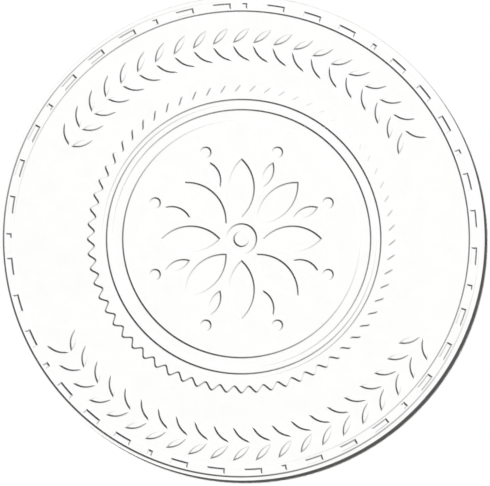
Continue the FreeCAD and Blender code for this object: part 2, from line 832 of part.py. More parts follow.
def ram_button():
    """The hardened cap that the roller presses on."""
    flange = rod(button_radius, button_flange, Vector(0, 0, ram_top))
    flange = rounded(flange, button_edge_round, lambda e: e.BoundBox.ZMin > button_top - edge_slack)
    stem = rod(button_stem_radius, button_stem_length, Vector(0, 0, ram_top - button_stem_length))
    return flange.fuse(stem)


def spring_collar():
    return ring_of_revolution([(ram_radius, collar_bottom), (collar_radius, collar_bottom),
                               (collar_radius, clip_bottom - collar_chamfer),
                               (collar_radius - collar_chamfer, clip_bottom),
                               (ram_radius, clip_bottom)])


def ram_clip():
    """A snap ring in the ram's groove, open at the back."""
    inner = ram_radius - clip_groove_depth
    ring = tube(clip_radius, inner, clip_bottom, clip_bottom + clip_thickness)
    mouth = block(-clip_mouth_width / 2, clip_mouth_width / 2, 0, clip_radius + overlap,
                  clip_bottom, clip_bottom + clip_thickness)
    return ring.cut(mouth)


def return_spring():
    """A coil of short arcs that each pass through three points of the helix."""
    mean_radius = ram_radius + spring_ram_gap + spring_wire_radius
    end_gap = spring_wire_radius + spring_end_gap
    height = spring_length - 2 * end_gap
    whole_turn = 2 * math.pi * spring_turns

    def on_helix(turn):
        return Vector(mean_radius * math.cos(turn), mean_radius * math.sin(turn),
                      head_top + end_gap + height * turn / whole_turn)

    arcs = []
    steps = round(spring_turns * spring_arc_count)
    for k in range(steps):
        turns = [whole_turn * (k + part) / steps for part in (0, 0.5, 1)]
        arcs.append(Part.Arc(*[on_helix(turn) for turn in turns]).toShape())
    heading = Vector(0, mean_radius * whole_turn, height)
    start = Part.makeCircle(spring_wire_radius, on_helix(0), heading)
    return Part.Wire(arcs).makePipeShell([Part.Wire(start)], True, False)


# ---------------- lever ----------------
# The lever's own parts are drawn along +Z from the pivot and then laid over to its resting slope.

def along_lever(shape):
    laid = shape.copy()
    laid.rotate(Vector(0, 0, 0), X, lever_rise - 90.0)
    laid.translate(Vector(0, pivot_y, pivot_z))
    return laid


def across(radius, half_length, y, z):
    return rod(radius, 2 * half_length, Vector(-half_length, y, z), X)


def lever_arm():
    """A forged arm: hub and roller fork in front, a tapering beam, and a round tang for the grip."""
    half_hub = hub_width / 2
    cheek_radius = roller_pin_radius + cheek_wall
    hub = across(hub_radius, half_hub, pivot_y, pivot_z)
    fork = across(cheek_radius, half_hub, roller_y, roller_z)
    beam_points = [Vector(0, -arm_height_front / 2, -arm_root),
                   Vector(0, arm_height_front / 2, -arm_root),
                   Vector(0, arm_height_rear / 2, arm_length),
                   Vector(0, -arm_height_rear / 2, arm_length)]
    face = Part.Face(Part.makePolygon(beam_points + beam_points[:1]))
    face.translate(Vector(-half_hub, 0, 0))
    beam = face.extrude(X * hub_width)
    for side in (-1, 1):
        waste = [Vector(side * half_hub, -hub_width, arm_taper_start),
                 Vector(side * arm_width / 2, -hub_width, arm_taper_end),
                 Vector(side * arm_width / 2, -hub_width, arm_length + overlap),
                 Vector(side * (half_hub + overlap), -hub_width, arm_length + overlap),
                 Vector(side * (half_hub + overlap), -hub_width, arm_taper_start)]
        trim = Part.Face(Part.makePolygon(waste + waste[:1])).extrude(Y * 2 * hub_width)
        beam = beam.cut(trim)
    beam = rounded(beam, arm_round, lambda e: e.BoundBox.ZMin > arm_taper_end - edge_slack
                   and e.BoundBox.ZLength > arm_length / 3)
    tang = rod(tang_radius, tang_length, Vector(0, 0, arm_length - overlap))
    body = hub.multiFuse([fork, along_lever(beam), along_lever(tang)])
    slot = across(roller_room, roller_slot, roller_y, roller_z)
    drop = block(-roller_slot, roller_slot, roller_y - roller_room, roller_y + roller_room,
                 roller_z - 2 * roller_room, roller_z)
    bore = across(bush_outer, half_hub + overlap, pivot_y, pivot_z)
    pin_hole = across(roller_pin_radius, half_hub + overlap, roller_y, roller_z)
    return body.cut([slot, drop, bore, pin_hole]).removeSplitter()


def pivot_bushes():
    """Two flanged bushes pressed into the hub from either side."""
    bushes = []
    half_hub = hub_width / 2
    bore = across(pivot_pin_radius + running_clearance, lug_inner, pivot_y, pivot_z)
    for side in (-1, 1):
        sleeve = rod(bush_outer, half_hub, Vector(0, pivot_y, pivot_z), X * side)
        flange = rod(bush_flange_radius, bush_flange, Vector(side * half_hub, pivot_y, pivot_z),
                     X * side)
        bushes.append(sleeve.fuse(flange).cut(bore))
    return bushes


def roller():
    body = across(roller_radius, roller_width / 2, roller_y, roller_z)
    body = rounded(body, roller_edge_round, lambda e: e.BoundBox.XLength < edge_slack)
    return body.cut(across(roller_pin_radius + running_clearance, roller_width, roller_y, roller_z))


def ferrule():
    """The bright ring between the arm and the grip."""
    outline = [(tang_radius, arm_length), (ferrule_radius - ferrule_chamfer, arm_length),
               (ferrule_radius, arm_length + ferrule_chamfer),
               (ferrule_radius, arm_length + ferrule_length),
               (tang_radius, arm_length + ferrule_length)]
    return along_lever(ring_of_revolution(outline))


def handle_grip():
    """A turned grip, slim at the neck and fuller behind."""
    z0 = arm_length + ferrule_length
    z1 = z0 + grip_length
    tang_top = arm_length - overlap + tang_length
    swell = Part.BSplineCurve()
    swell.interpolate([Vector(grip_neck_radius, 0, z0),
                       Vector(grip_shoulder_radius, 0, z0 + grip_shoulder_length),
                       Vector(grip_radius, 0, z0 + grip_belly_length),
                       Vector(grip_end_radius, 0, z1)])
    edges = [Part.LineSegment(Vector(0, 0, z0), Vector(grip_neck_radius, 0, z0)).toShape(),
             swell.toShape(),
             Part.LineSegment(Vector(grip_end_radius, 0, z1), Vector(0, 0, z1)).toShape(),
             Part.LineSegment(Vector(0, 0, z1), Vector(0, 0, z0)).toShape()]
    grip = Part.Face(Part.Wire(edges)).revolve(Vector(0, 0, 0), Z, 360)
    grip = grip.cut(rod(tang_radius, tang_top - z0, Vector(0, 0, z0)))
    return along_lever(grip)


def grip_cap():
    z0 = arm_length + ferrule_length + grip_length
    cap = rod(grip_end_radius, cap_length, Vector(0, 0, z0))
    cap = rounded(cap, cap_round, lambda e: e.BoundBox.ZMin > z0 + cap_length - edge_slack)
    return along_lever(cap)


# ---------------- paper gauge ----------------

def gauge_plate():
    """A fence on a slotted strip that slides in a groove of the frame."""
    strip_bottom = groove_floor + running_clearance
    strip_top = strip_bottom + strip_thickness
    rear = gauge_rest + strip_length
    strip = block(-strip_width / 2, strip_width / 2, gauge_rest, rear, strip_bottom, strip_top)
    fence_bottom = rib_top + running_clearance
    fence = block(-fence_width / 2, fence_width / 2, gauge_rest, gauge_rest + fence_thickness,
                  fence_bottom, fence_bottom + fence_height)
    fence = rounded(fence, fence_corner_round,
                    lambda e: e.BoundBox.YLength > fence_thickness - edge_slack
                    and e.BoundBox.XLength < edge_slack
                    and e.BoundBox.ZMin > fence_bottom + edge_slack)
    half_slot = thumb_screw_radius + thumb_screw_clearance
    slot = block(-half_slot, half_slot, thumb_y - gauge_travel, thumb_y, strip_bottom, strip_top)
    ends = [rod(half_slot, strip_thickness, Vector(0, y, strip_bottom))
            for y in (thumb_y - gauge_travel, thumb_y)]
    return strip.fuse(fence).cut([slot] + ends).removeSplitter()


washer_z = groove_floor + 2 * running_clearance + strip_thickness


def gauge_washer():
    return tube(gauge_washer_radius, thumb_screw_radius + thumb_screw_clearance, washer_z,
                washer_z + gauge_washer_thickness, 0, thumb_y)


def thumb_screw():
    z0 = washer_z + gauge_washer_thickness + running_clearance
    neck = rod(thumb_neck_radius, thumb_neck_height, Vector(0, thumb_y, z0))
    knurl = rod(thumb_head_radius, thumb_head_height - thumb_neck_height,
                Vector(0, thumb_y, z0 + thumb_neck_height))
    knurl = rounded(knurl, thumb_edge_round, lambda e: e.BoundBox.ZLength < edge_slack)
    grooves = []
    for k in range(knurl_count):
        place = on_circle(thumb_head_radius + knurl_outset, k * 360.0 / knurl_count, z0)
        grooves.append(rod(knurl_radius, thumb_head_height, place + Y * thumb_y))
    shank_bottom = groove_floor - thumb_screw_depth + thumb_screw_end_gap
    shank = rod(thumb_screw_radius - thumb_thread_fit, z0 - shank_bottom,
                Vector(0, thumb_y, shank_bottom))
    return knurl.cut(grooves).multiFuse([neck, shank])


# ---------------- paper seal ----------------

def embossed_seal():
    middle = Vector(paper_shift_x, paper_shift_y, 0)
    sheet = rod(paper_diameter / 2, paper_thickness, middle)
    disc = rod(paper_diameter / 2, relief_height, middle + Z * paper_thickness)
    seal = sheet.multiFuse(raised_pattern(paper_thickness, disc))
    seal.translate(Vector(seal_x, seal_y, 0))
    return seal


# ---------------- the lowest point of the arm over the stop, lever down ----------------

down_slope = math.radians(lever_rise - lever_sweep)
under_taper = math.atan2((arm_height_front - arm_height_rear) / 2, arm_length + arm_root)
reach_to_stop = (stop_distance - hex_across_flats / math.sqrt(3) - pivot_y) / math.cos(down_slope)
arm_half_there = arm_height_front / 2 - reach_to_stop * math.tan(under_taper)
arm_under_z = pivot_z + reach_to_stop * math.sin(down_slope) - arm_half_there / math.cos(down_slope)
stop_head_z = arm_under_z - stop_clearance - stop_head_height

nodes = {
    "frame_casting": [frame_casting()],
    "rubber_feet": rubber_feet(),
    "foot_screws": foot_screws(),
    "guide_bush_lower": [guide_bush(head_bottom)],
    "guide_bush_upper": [guide_bush(head_top - bush_length)],
    "guide_screw": [guide_screw()],
    "buffer_ring": [tube(buffer_radius, guide_bush_outer + buffer_bush_clearance, upper_holder_top,
                         head_bottom)],
    "lower_die_holder": [standing(holder(), pedestal_top)],
    "lower_holder_screw": [standing(holder_screw(), pedestal_top)],
    "lower_die": [lower_die()],
    "lower_die_dowel": [standing(dowel_pin(), pedestal_top)],
    "lower_die_screws": [standing(screw, pedestal_top) for screw in grub_screws(True)],
    "pivot_pin": [pivot_pin()],
    "pivot_pin_clip": [pin_clip()],
    "depth_stop_screw": [stop_screw()],
    "depth_stop_nut": [jam_nut()],
    "ram": [ram()],
    "ram_button": [ram_button()],
    "spring_collar": [spring_collar()],
    "ram_clip": [ram_clip()],
    "return_spring": [return_spring()],
    "upper_die_holder": [turned_over(holder(), upper_holder_top)],
    "upper_holder_screw": [turned_over(holder_screw(), upper_holder_top)],
    "upper_die": [upper_die()],
    "upper_die_dowel": [turned_over(dowel_pin(), upper_holder_top)],
    "upper_die_screws": [turned_over(screw, upper_holder_top) for screw in grub_screws(True)],
    "lever_arm": [lever_arm()],
    "pivot_bushes": pivot_bushes(),
    "roller": [roller()],
    "roller_pin": [across(roller_pin_radius, hub_width / 2, roller_y, roller_z)],
    "grip_ferrule": [ferrule()],
    "handle_grip": [handle_grip()],
    "grip_cap": [grip_cap()],
    "gauge_plate": [gauge_plate()],
    "gauge_washer": [gauge_washer()],
    "gauge_thumb_screw": [thumb_screw()],
    "embossed_seal": [embossed_seal()],
}

os.makedirs("parts", exist_ok=True)
for node_name, solids in nodes.items():
    save(node_name, solids)

print("press travel", round(press_travel, 3), "mm, dies at", round(lower_face, 2),
      "and", round(upper_face, 2), "mm")
print("head top", round(head_top, 2), "ram top", round(button_top, 2), "pivot z", round(pivot_z, 3))
print("roller y", round(roller_y, 3), "z", round(roller_z, 3), "thumb screw y", round(thumb_y, 2))
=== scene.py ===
import json
import math

import bpy
import numpy as np
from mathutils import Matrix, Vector
from mathutils.geometry import delaunay_2d_cdt


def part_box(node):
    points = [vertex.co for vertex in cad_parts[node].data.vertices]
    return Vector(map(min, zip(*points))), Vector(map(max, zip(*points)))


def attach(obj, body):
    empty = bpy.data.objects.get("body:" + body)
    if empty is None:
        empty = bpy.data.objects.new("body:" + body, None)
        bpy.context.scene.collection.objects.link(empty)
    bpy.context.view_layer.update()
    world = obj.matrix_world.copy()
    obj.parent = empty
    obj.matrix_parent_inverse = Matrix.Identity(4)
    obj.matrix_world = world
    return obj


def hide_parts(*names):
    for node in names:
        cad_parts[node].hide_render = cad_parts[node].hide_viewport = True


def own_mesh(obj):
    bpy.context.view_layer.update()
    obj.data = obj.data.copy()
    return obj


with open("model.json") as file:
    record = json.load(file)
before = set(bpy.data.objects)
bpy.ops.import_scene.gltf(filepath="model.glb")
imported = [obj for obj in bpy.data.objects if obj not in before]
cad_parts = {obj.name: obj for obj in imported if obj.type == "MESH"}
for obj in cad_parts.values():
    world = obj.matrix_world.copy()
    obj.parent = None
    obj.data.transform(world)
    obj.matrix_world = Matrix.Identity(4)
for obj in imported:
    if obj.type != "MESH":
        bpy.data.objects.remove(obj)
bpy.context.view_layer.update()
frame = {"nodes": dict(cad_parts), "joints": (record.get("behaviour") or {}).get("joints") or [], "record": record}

# Desk seal embosser, with the paper seal that it makes lying in front of it.
# Metres, in the part's own frame: the origin is on the desk under the dies, +Y runs back.
mm = 0.001
scene = bpy.context.scene
pieces = []                           # what is made here, apart from the frame's own nodes
print("frame:", len(frame["nodes"]), "nodes")


def linearColour(hexCode):
    parts = [int(hexCode[k:k + 2], 16) / 255 for k in (1, 3, 5)]
    return [c / 12.92 if c <= 0.04045 else ((c + 0.055) / 1.055) ** 2.4 for c in parts] + [1.0]


# adds one node, sets its values and sockets, and joins sockets that are given as outputs
def addNode(tree, kind, sockets=None, **settings):
    node = tree.nodes.new(kind)
    for name, value in settings.items():
        setattr(node, name, value)
    for name, value in (sockets or {}).items():
        if isinstance(value, bpy.types.NodeSocket):
            tree.links.new(value, node.inputs[name])
        else:
            node.inputs[name].default_value = value
    return node


# the Mix node's sockets go by number, because its colours and its plain values share their names
colourA, colourB, colourOut = 6, 7, 2
valueA, valueB, valueOut = 2, 3, 0


# an S from 0 to 1, level at both ends
def smoothStep(share):
    return share * share * (3 - 2 * share)


# The faces of a closed tube whose points are rings, one for each row of index, with both ends
# filled. clockwise says which way the rings run to someone who looks in at the first one.
def tubeFaces(index, clockwise):
    ahead = np.roll(index, -1, 1)
    corners = [index[:-1], index[1:], ahead[1:], ahead[:-1]]
    ends = [index[0], index[-1][::-1]]
    if clockwise:
        corners = corners[:1] + corners[:0:-1]
        ends = [end[::-1] for end in ends]
    return np.stack(corners, -1).reshape(-1, 4).tolist() + [end.tolist() for end in ends]


def newPiece(name, points, faces, body, node=None, smooth=False):
    mesh = bpy.data.meshes.new(name)
    mesh.from_pydata(points.tolist(), [], faces)
    mesh.polygons.foreach_set("use_smooth", np.full(len(mesh.polygons), smooth))
    mesh.update()
    piece = bpy.data.objects.new(name, mesh)
    scene.collection.objects.link(piece)
    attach(piece, body)
    if node:
        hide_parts(node)
    pieces.append(piece)
    return piece


# The paper seal. Sizes in mm, and degrees clockwise from the top of the seal, which points to +Y.
sealValues = {
    "diameter": 41.7,                 # over the raised rim
    "trimShift": (0.104, 0.040),      # middle of the cut edge from the middle of the pattern
    "rimWidth": 0.26,
    "bandWidth": 0.87,                # the sunk band that holds the dashes
    "dashWidth": 0.40,
    "longDash": 4.13,
    "shortDash": 0.98,
    "dashGap": 5.095,
    "dashRun": 3,                     # long dashes after each short one, one fewer after the last
    "shortDashes": 11,
    "dashStart": 0.25,
    "fieldWidth": 6.675,              # band to the middle of the teeth
    "teeth": 64,
    "toothHeight": 0.56,
    "toothSoftness": 0.72,            # 0 is a plain wave, 1 is sharp points
    "ringRadii": ((12.06, 11.68), (11.18, 10.28)),
    "leafLength": 1.75,
    "leafBreadth": 0.45,
    "leafLean": 48.0,
    "leafOffset": 0.78,               # to either side of the stem line
    "leafPairs": 21,
    "leafArc": 118.0,
    "leafSprays": ((0.0, 16.85), (180.0, 17.75)),     # middle of each spray, and its radius
    "petals": 8,
    "petalLength": 5.0,
    "petalBreadth": 2.2,
    "petalStart": 1.9,
    "dartLength": 2.2,
    "dartBreadth": 0.80,
    "dartRadius": 6.0,
    "beadRadius": 0.45,
    "beadCircle": 8.1,
    "hubRing": (1.30, 0.65),
    "relief": 0.20,
    "wallWidth": 0.17,                # a raised form slopes to the ground over this width
    "sheetThickness": 0.40,
    "edgeRound": 0.03,                # the cut edge of the sheet
    "edgeShoulder": 0.3,              # share of that round where it turns most
    "topStations": (-0.5, -0.3, -0.1, 0.1, 0.3, 0.5),  # across the wall, in wall widths
    "underStations": (-0.5, 0.5),
    "ringSteps": 480,
    "dashSteps": (3, 8),              # short and long
    "toothSteps": 12,
    "leafSteps": 9,
    "petalSteps": 16,
    "dartSteps": 10,
    "beadSteps": 24,
    "hubSteps": (60, 48),
    "samePoint": 1e-5,                # points nearer than this are one
}


def onCircle(radius, degrees):
    turn = math.radians(degrees)
    return radius * math.sin(turn), radius * math.cos(turn)


# a circle: the offset is added to its radius
def circleLoops(offsets, radius, steps, centre=(0.0, 0.0)):
    turn = np.linspace(0, 2 * np.pi, steps, endpoint=False)
    reach = radius + offsets[:, None]
    return np.stack([centre[0] + reach * np.sin(turn), centre[1] + reach * np.cos(turn)], -1)


# a pointed leaf: two equal arcs about centres to either side, both radii grown by the offset
def leafLoops(offsets, radius, degrees, lean, length, breadth, steps):
    arcRadius = (length * length + breadth * breadth) / (4 * breadth)
    shift = arcRadius - breadth / 2
    grown = arcRadius + offsets[:, None]
    half = np.arccos(shift / grown)
    sweep = half * np.linspace(-1, 1, steps, endpoint=False)
    across = grown * np.cos(sweep) - shift
    along = grown * np.sin(sweep)
    x = np.concatenate([across, -across], 1)
    y = np.concatenate([along, -along], 1)
    turn = math.radians(degrees + lean)
    placeX, placeY = onCircle(radius, degrees)
    return np.stack([placeX + x * math.cos(turn) + y * math.sin(turn),
                     placeY - x * math.sin(turn) + y * math.cos(turn)], -1)


# a dash: two arcs joined at their ends, every side moved out by the offset
def dashLoops(offsets, middle, width, start, end, steps):
    share = np.linspace(0, 1, steps + 1)
    push = offsets[:, None]
    spread = np.degrees(push / middle)
    turn = np.radians((start - spread) + (end - start + 2 * spread) * share)
    outer = middle + width / 2 + push + 0 * turn
    inner = middle - width / 2 - push + 0 * turn
    turn = np.concatenate([turn, turn[:, ::-1]], 1)
    reach = np.concatenate([outer, inner], 1)
    return np.stack([reach * np.sin(turn), reach * np.cos(turn)], -1)


# the teeth: the radius is a triangle wave of the angle, softened at its tips, and the offset is
# laid off square to the slope of the tooth
def teethLoops(offsets, inner, outer, teeth, softness, steps):
    turn = np.linspace(0, 2 * np.pi, teeth * steps, endpoint=False)
    swing = (outer - inner) / 2
    wave = np.arcsin(softness * np.cos(teeth * turn)) / math.asin(softness)
    radius = (outer + inner) / 2 + swing * wave
    rise = -swing * teeth * softness * np.sin(teeth * turn) / math.asin(softness)
    rise = rise / np.sqrt(1 - (softness * np.cos(teeth * turn)) ** 2)
    reach = radius + offsets[:, None] * np.sqrt(1 + (rise / radius) ** 2)
    return np.stack([reach * np.sin(turn), reach * np.cos(turn)], -1)


# The top or underside of the sheet. Each outline of the relief carries a wall profile: loops of
# points at several offsets, with a height that falls from 1 to 0 along an S. The flats between
# the walls are filled with triangles.
def sheetSurface(v, trimRadius, stations, edgeLoops):
    offsets = np.array(stations) * v["wallWidth"]
    heights = smoothStep(0.5 - np.array(stations))
    bandOuter = v["diameter"] / 2 - v["rimWidth"]
    bandInner = bandOuter - v["bandWidth"]
    dashMiddle = (bandOuter + bandInner) / 2
    toothOuter = bandInner - v["fieldWidth"] + v["toothHeight"] / 2
    ring = v["ringSteps"]
    low, high = offsets, -offsets     # raised inside the outline, or raised outside it
    outlines = [circleLoops(high, bandOuter, ring), circleLoops(low, bandInner, ring)]
    turn = v["dashStart"]
    shortSteps, longSteps = v["dashSteps"]
    for k in range(v["shortDashes"]):
        longs = v["dashRun"] if k < v["shortDashes"] - 1 else v["dashRun"] - 1
        for length, steps in [(v["shortDash"], shortSteps)] + [(v["longDash"], longSteps)] * longs:
            outlines.append(dashLoops(low, dashMiddle, v["dashWidth"], turn, turn + length, steps))
            turn += length + v["dashGap"]
    outlines.append(teethLoops(high, toothOuter - v["toothHeight"], toothOuter, v["teeth"],
                               v["toothSoftness"], v["toothSteps"]))
    for outer, inner in v["ringRadii"]:
        outlines += [circleLoops(low, outer, ring), circleLoops(high, inner, ring)]
    for centre, radius in v["leafSprays"]:
        for k in range(v["leafPairs"]):
            degrees = centre + v["leafArc"] * (k / (v["leafPairs"] - 1) - 0.5)
            for side, lean in ((1, v["leafLean"]), (-1, 180.0 - v["leafLean"])):
                outlines.append(leafLoops(high, radius + side * v["leafOffset"], degrees, lean,
                                          v["leafLength"], v["leafBreadth"], v["leafSteps"]))
    petalMiddle = v["petalStart"] + v["petalLength"] / 2
    for k in range(v["petals"]):
        degrees = 360.0 * k / v["petals"]
        between = degrees + 180.0 / v["petals"]
        outlines += [
            leafLoops(low, petalMiddle, degrees, 0.0, v["petalLength"], v["petalBreadth"],
                      v["petalSteps"]),
            leafLoops(low, v["dartRadius"], between, 0.0, v["dartLength"], v["dartBreadth"],
                      v["dartSteps"]),
            circleLoops(low, v["beadRadius"], v["beadSteps"], onCircle(v["beadCircle"], between))]
    outlines.append(circleLoops(low, v["hubRing"][0], v["hubSteps"][0]))
    outlines.append(circleLoops(high, v["hubRing"][1], v["hubSteps"][1]))
    groups = [(circleLoops(np.array([shift]), trimRadius, ring, v["trimShift"]), np.array([height]))
              for shift, height in edgeLoops]
    groups += [(loops, heights) for loops in outlines]

    flat, raised, edges, count = [], [], [], 0
    for loops, levels in groups:
        stationCount, steps = loops.shape[:2]
        index = count + np.arange(stationCount * steps).reshape(stationCount, steps)
        edges.append(np.stack([index, np.roll(index, -1, 1)], -1).reshape(-1, 2))
        flat.append(loops.reshape(-1, 2))
        raised.append(np.repeat(levels, steps))
        count += stationCount * steps
    flat, raised, edges = np.concatenate(flat), np.concatenate(raised), np.concatenate(edges)
    # 0 fills the whole sheet with triangles, and True tells which point each corner came from
    places, _, faces, sources = delaunay_2d_cdt(
        [Vector(p) for p in flat], edges.tolist(), [], 0, v["samePoint"], True)[:4]
    sources = np.array([made[0] if made else -1 for made in sources])
    if -1 in sources or len(sources) != count:
        print("paper seal: outlines cross or touch")
    points = np.column_stack([np.array([p[:] for p in places]), raised[sources]])
    rim = np.zeros(ring, int)         # the points of the sheet's outline, in order
    onRim = (sources >= 0) & (sources < ring)
    rim[sources[onRim]] = np.flatnonzero(onRim)
    return points, np.array(faces), rim


sealLow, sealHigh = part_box("embossed_seal")
# the middle of the pattern, which isn't quite that of the cut edge
sealCentre = (sealLow + sealHigh) / 2 - Vector((*sealValues["trimShift"], 0)) * mm


def paperSeal(v):
    trimRadius = (sealHigh.x - sealLow.x) / 2 / mm
    ground = sealHigh.z / mm - v["relief"]
    edge, shoulder = v["edgeRound"], v["edgeShoulder"]
    drop = edge / v["relief"]
    topPoints, topFaces, topRim = sheetSurface(v, trimRadius, v["topStations"], [
        (0.0, 1 - drop), (-shoulder * edge, 1 - shoulder * drop), (-edge, 1.0)])
    underPoints, underFaces, underRim = sheetSurface(v, trimRadius, v["underStations"], [(0.0, 0.0)])
    topPoints[:, 2] = ground + v["relief"] * topPoints[:, 2]
    underPoints[:, 2] = ground - v["sheetThickness"] + v["relief"] * underPoints[:, 2]
    underFaces, underRim = underFaces + len(topPoints), underRim + len(topPoints)
    sides = np.stack([topRim, np.roll(topRim, -1), np.roll(underRim, -1), underRim], 1)
    faces = topFaces.tolist() + underFaces[:, ::-1].tolist() + sides.tolist()
    points = np.concatenate([topPoints, underPoints]) * mm + [sealCentre.x, sealCentre.y, 0.0]
    return newPiece("PaperSeal", points, faces, "paper_seal", "embossed_seal")


seal = paperSeal(sealValues)
seal.visible_diffuse = False          # its white flats don't fill its own hollows with light
print("paper seal:", len(seal.data.vertices), "points", len(seal.data.polygons), "faces")

# The return spring, in mm.
springValues = {
    "turns": 4.75,
    "endTurns": 0.9,                  # turns from either end to where it is fully open
    "openFrom": 0.55,                 # share of those turns that lie wire on wire
    "wireRadius": 0.9,
    "meanRadius": 13.0,
    "endCentre": 0.3,                 # first wire centre above the seat: the end is ground flat
    "stepsPerTurn": 48,
    "wireSteps": 20,
    "pressedShare": 0.543,            # of its length is left with the ram fully down
}


# A round section carried along a helix. The pitch is the wire's own thickness at both ends and
# opens smoothly between them. Points past the seats are pulled back to them, as grinding does.
def returnSpring(v):
    low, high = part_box("return_spring")
    low, high = low.z / mm, high.z / mm
    steps = round(v["turns"] * v["stepsPerTurn"])
    turn = np.linspace(0, v["turns"], steps + 1)
    fromEnd = np.minimum(turn, v["turns"] - turn) / v["endTurns"]
    opening = smoothStep(np.clip((fromEnd - v["openFrom"]) / (1 - v["openFrom"]), 0, 1))
    closedRise = 2 * v["wireRadius"] * turn
    openRise = np.concatenate([[0], np.cumsum((opening[1:] + opening[:-1]) / 2) * turn[1]])
    rise = high - low - 2 * v["endCentre"]
    rise = closedRise + openRise * (rise - closedRise[-1]) / openRise[-1]
    height = low + v["endCentre"] + rise
    angle = 2 * np.pi * turn
    slope = np.gradient(height, angle) / v["meanRadius"]
    section = np.linspace(0, 2 * np.pi, v["wireSteps"], endpoint=False)
    outward = v["wireRadius"] * np.cos(section)[None, :]
    upward = v["wireRadius"] * np.sin(section)[None, :]
    lean = np.arctan(slope)[:, None]
    reach = v["meanRadius"] + outward
    back = -np.sin(lean) * upward
    cosine, sine = np.cos(angle)[:, None], np.sin(angle)[:, None]
    x = reach * cosine - back * sine
    y = reach * sine + back * cosine
    z = np.clip(height[:, None] + np.cos(lean) * upward, low, high)
    points = np.stack([x, y, z], -1).reshape(-1, 3) * mm
    rows, columns = steps + 1, v["wireSteps"]
    faces = tubeFaces(np.arange(rows * columns).reshape(rows, columns), False)
    piece = newPiece("ReturnSpring", points, faces, "frame", "return_spring", True)
    # a map in mm, along the wire and around it
    wireMap = piece.data.uv_layers.new(name="AlongWire")
    row, column = np.divmod(np.arange(rows * columns), columns)
    along = row * (2 * np.pi * v["meanRadius"] / v["stepsPerTurn"])
    around = column * (2 * np.pi * v["wireRadius"] / columns)
    corners = np.empty(len(piece.data.loops), int)
    piece.data.loops.foreach_get("vertex_index", corners)
    wireMap.data.foreach_set("uv", np.stack([along, around], -1)[corners].astype(np.float32).ravel())
    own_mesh(piece)
    return piece


spring = returnSpring(springValues)
print("return spring:", len(spring.data.polygons), "faces")

# The grip, in mm and degrees.
gripValues = {
    "slope": 34.0,                    # lever above level at rest
    "start": 104.0,                   # from the pivot to the front of the grip
    "stations": (0.0, 14.0, 40.92, 66.0),              # where the radii are, from the front
    "radii": (9.5, 11.1, 12.0, 11.0),
    "flutes": 14,
    "fluteDepth": 0.55,
    "fluteNarrowness": 1.5,           # more than 1 leaves a wider land between two flutes
    "fluteEnds": (7.0, 60.0),
    "fluteRunOut": 6.0,
    "endRound": 0.8,
    "rows": 120,
    "columns": 168,
}


# A radius that depends on the length along the grip, as a cubic through four sizes, and on the
# angle round it, as a cosine flute that fades out before both ends. Both ends are small rounds.
# The rows stand closer together at the ends and in the middle.
def mouldedGrip(v):
    pivot = np.array(next(j["pos_m"] for j in frame["joints"] if j["name"] == "lever_press")) / mm
    share = np.linspace(0, 1, v["rows"])
    length = v["stations"][-1]
    along = length * (share - np.sin(4 * np.pi * share) / (8 * np.pi))
    cubic = np.polyfit(v["stations"], v["radii"], 3)
    radius = np.polyval(cubic, along)
    fromEnd = np.minimum(along, length - along)
    corner = np.clip(v["endRound"] - fromEnd, 0, None)
    radius = radius - v["endRound"] + np.sqrt(v["endRound"] ** 2 - corner ** 2)
    enter = np.clip((along - v["fluteEnds"][0]) / v["fluteRunOut"], 0, 1)
    leave = np.clip((v["fluteEnds"][1] - along) / v["fluteRunOut"], 0, 1)
    fade = np.sin(np.pi / 2 * enter * leave) ** 2
    turn = np.linspace(0, 2 * np.pi, v["columns"], endpoint=False)
    flute = (0.5 - 0.5 * np.cos(v["flutes"] * turn)) ** v["fluteNarrowness"]
    reach = radius[:, None] - v["fluteDepth"] * fade[:, None] * flute[None, :]
    tilt = math.radians(v["slope"])
    leverLine = np.array([0, math.cos(tilt), math.sin(tilt)])
    upward = np.array([0, -math.sin(tilt), math.cos(tilt)])
    points = pivot + (v["start"] + along)[:, None, None] * leverLine
    points = points + (reach * np.sin(turn))[..., None] * [1, 0, 0]
    points = points + (reach * np.cos(turn))[..., None] * upward
    index = np.arange(v["rows"] * v["columns"]).reshape(v["rows"], v["columns"])
    return newPiece("MouldedGrip", points.reshape(-1, 3) * mm, tubeFaces(index, True), "lever",
                    "handle_grip", True)


grip = mouldedGrip(gripValues)
print("grip:", len(grip.data.polygons), "faces")

# The thread of the depth stop, between its nut and its head, in mm.
threadValues = {
    "headHeight": 5.5,                # the thread ends under the head
    "pitch": 1.25,
    "rootRadius": 3.9,
    "crestRadius": 4.3,
    "ridgeSharpness": 0.97,           # 1 brings crest and root to an edge
    "columns": 40,
    "rowsPerTurn": 10,
    "endGap": 0.02,
}


# A radius that swings between root and crest with height less a share of the angle, which makes
# the one ridge climb a pitch in each turn.
def stopThread(v):
    nutLow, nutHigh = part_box("depth_stop_nut")
    bottom = nutHigh.z / mm
    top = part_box("depth_stop_screw")[1].z / mm - v["headHeight"]
    rows = round((top - bottom) / v["pitch"] * v["rowsPerTurn"])
    height = np.linspace(bottom + v["endGap"], top - v["endGap"], rows)[:, None]
    turn = np.linspace(0, 2 * np.pi, v["columns"], endpoint=False)[None, :]
    phase = height / v["pitch"] - turn / (2 * np.pi)
    ridge = np.arccos(np.cos(2 * np.pi * phase) * v["ridgeSharpness"]) / np.pi
    reach = v["rootRadius"] + (v["crestRadius"] - v["rootRadius"]) * ridge
    middle = (nutLow + nutHigh) / 2 / mm
    points = np.stack([middle.x + reach * np.cos(turn), middle.y + reach * np.sin(turn),
                       height + 0 * turn], -1).reshape(-1, 3) * mm
    index = np.arange(rows * v["columns"]).reshape(rows, v["columns"])
    return newPiece("StopScrewThread", points, tubeFaces(index, True), "frame",
                    None, True)


thread = stopThread(threadValues)
print("stop screw thread:", len(thread.data.polygons), "faces")

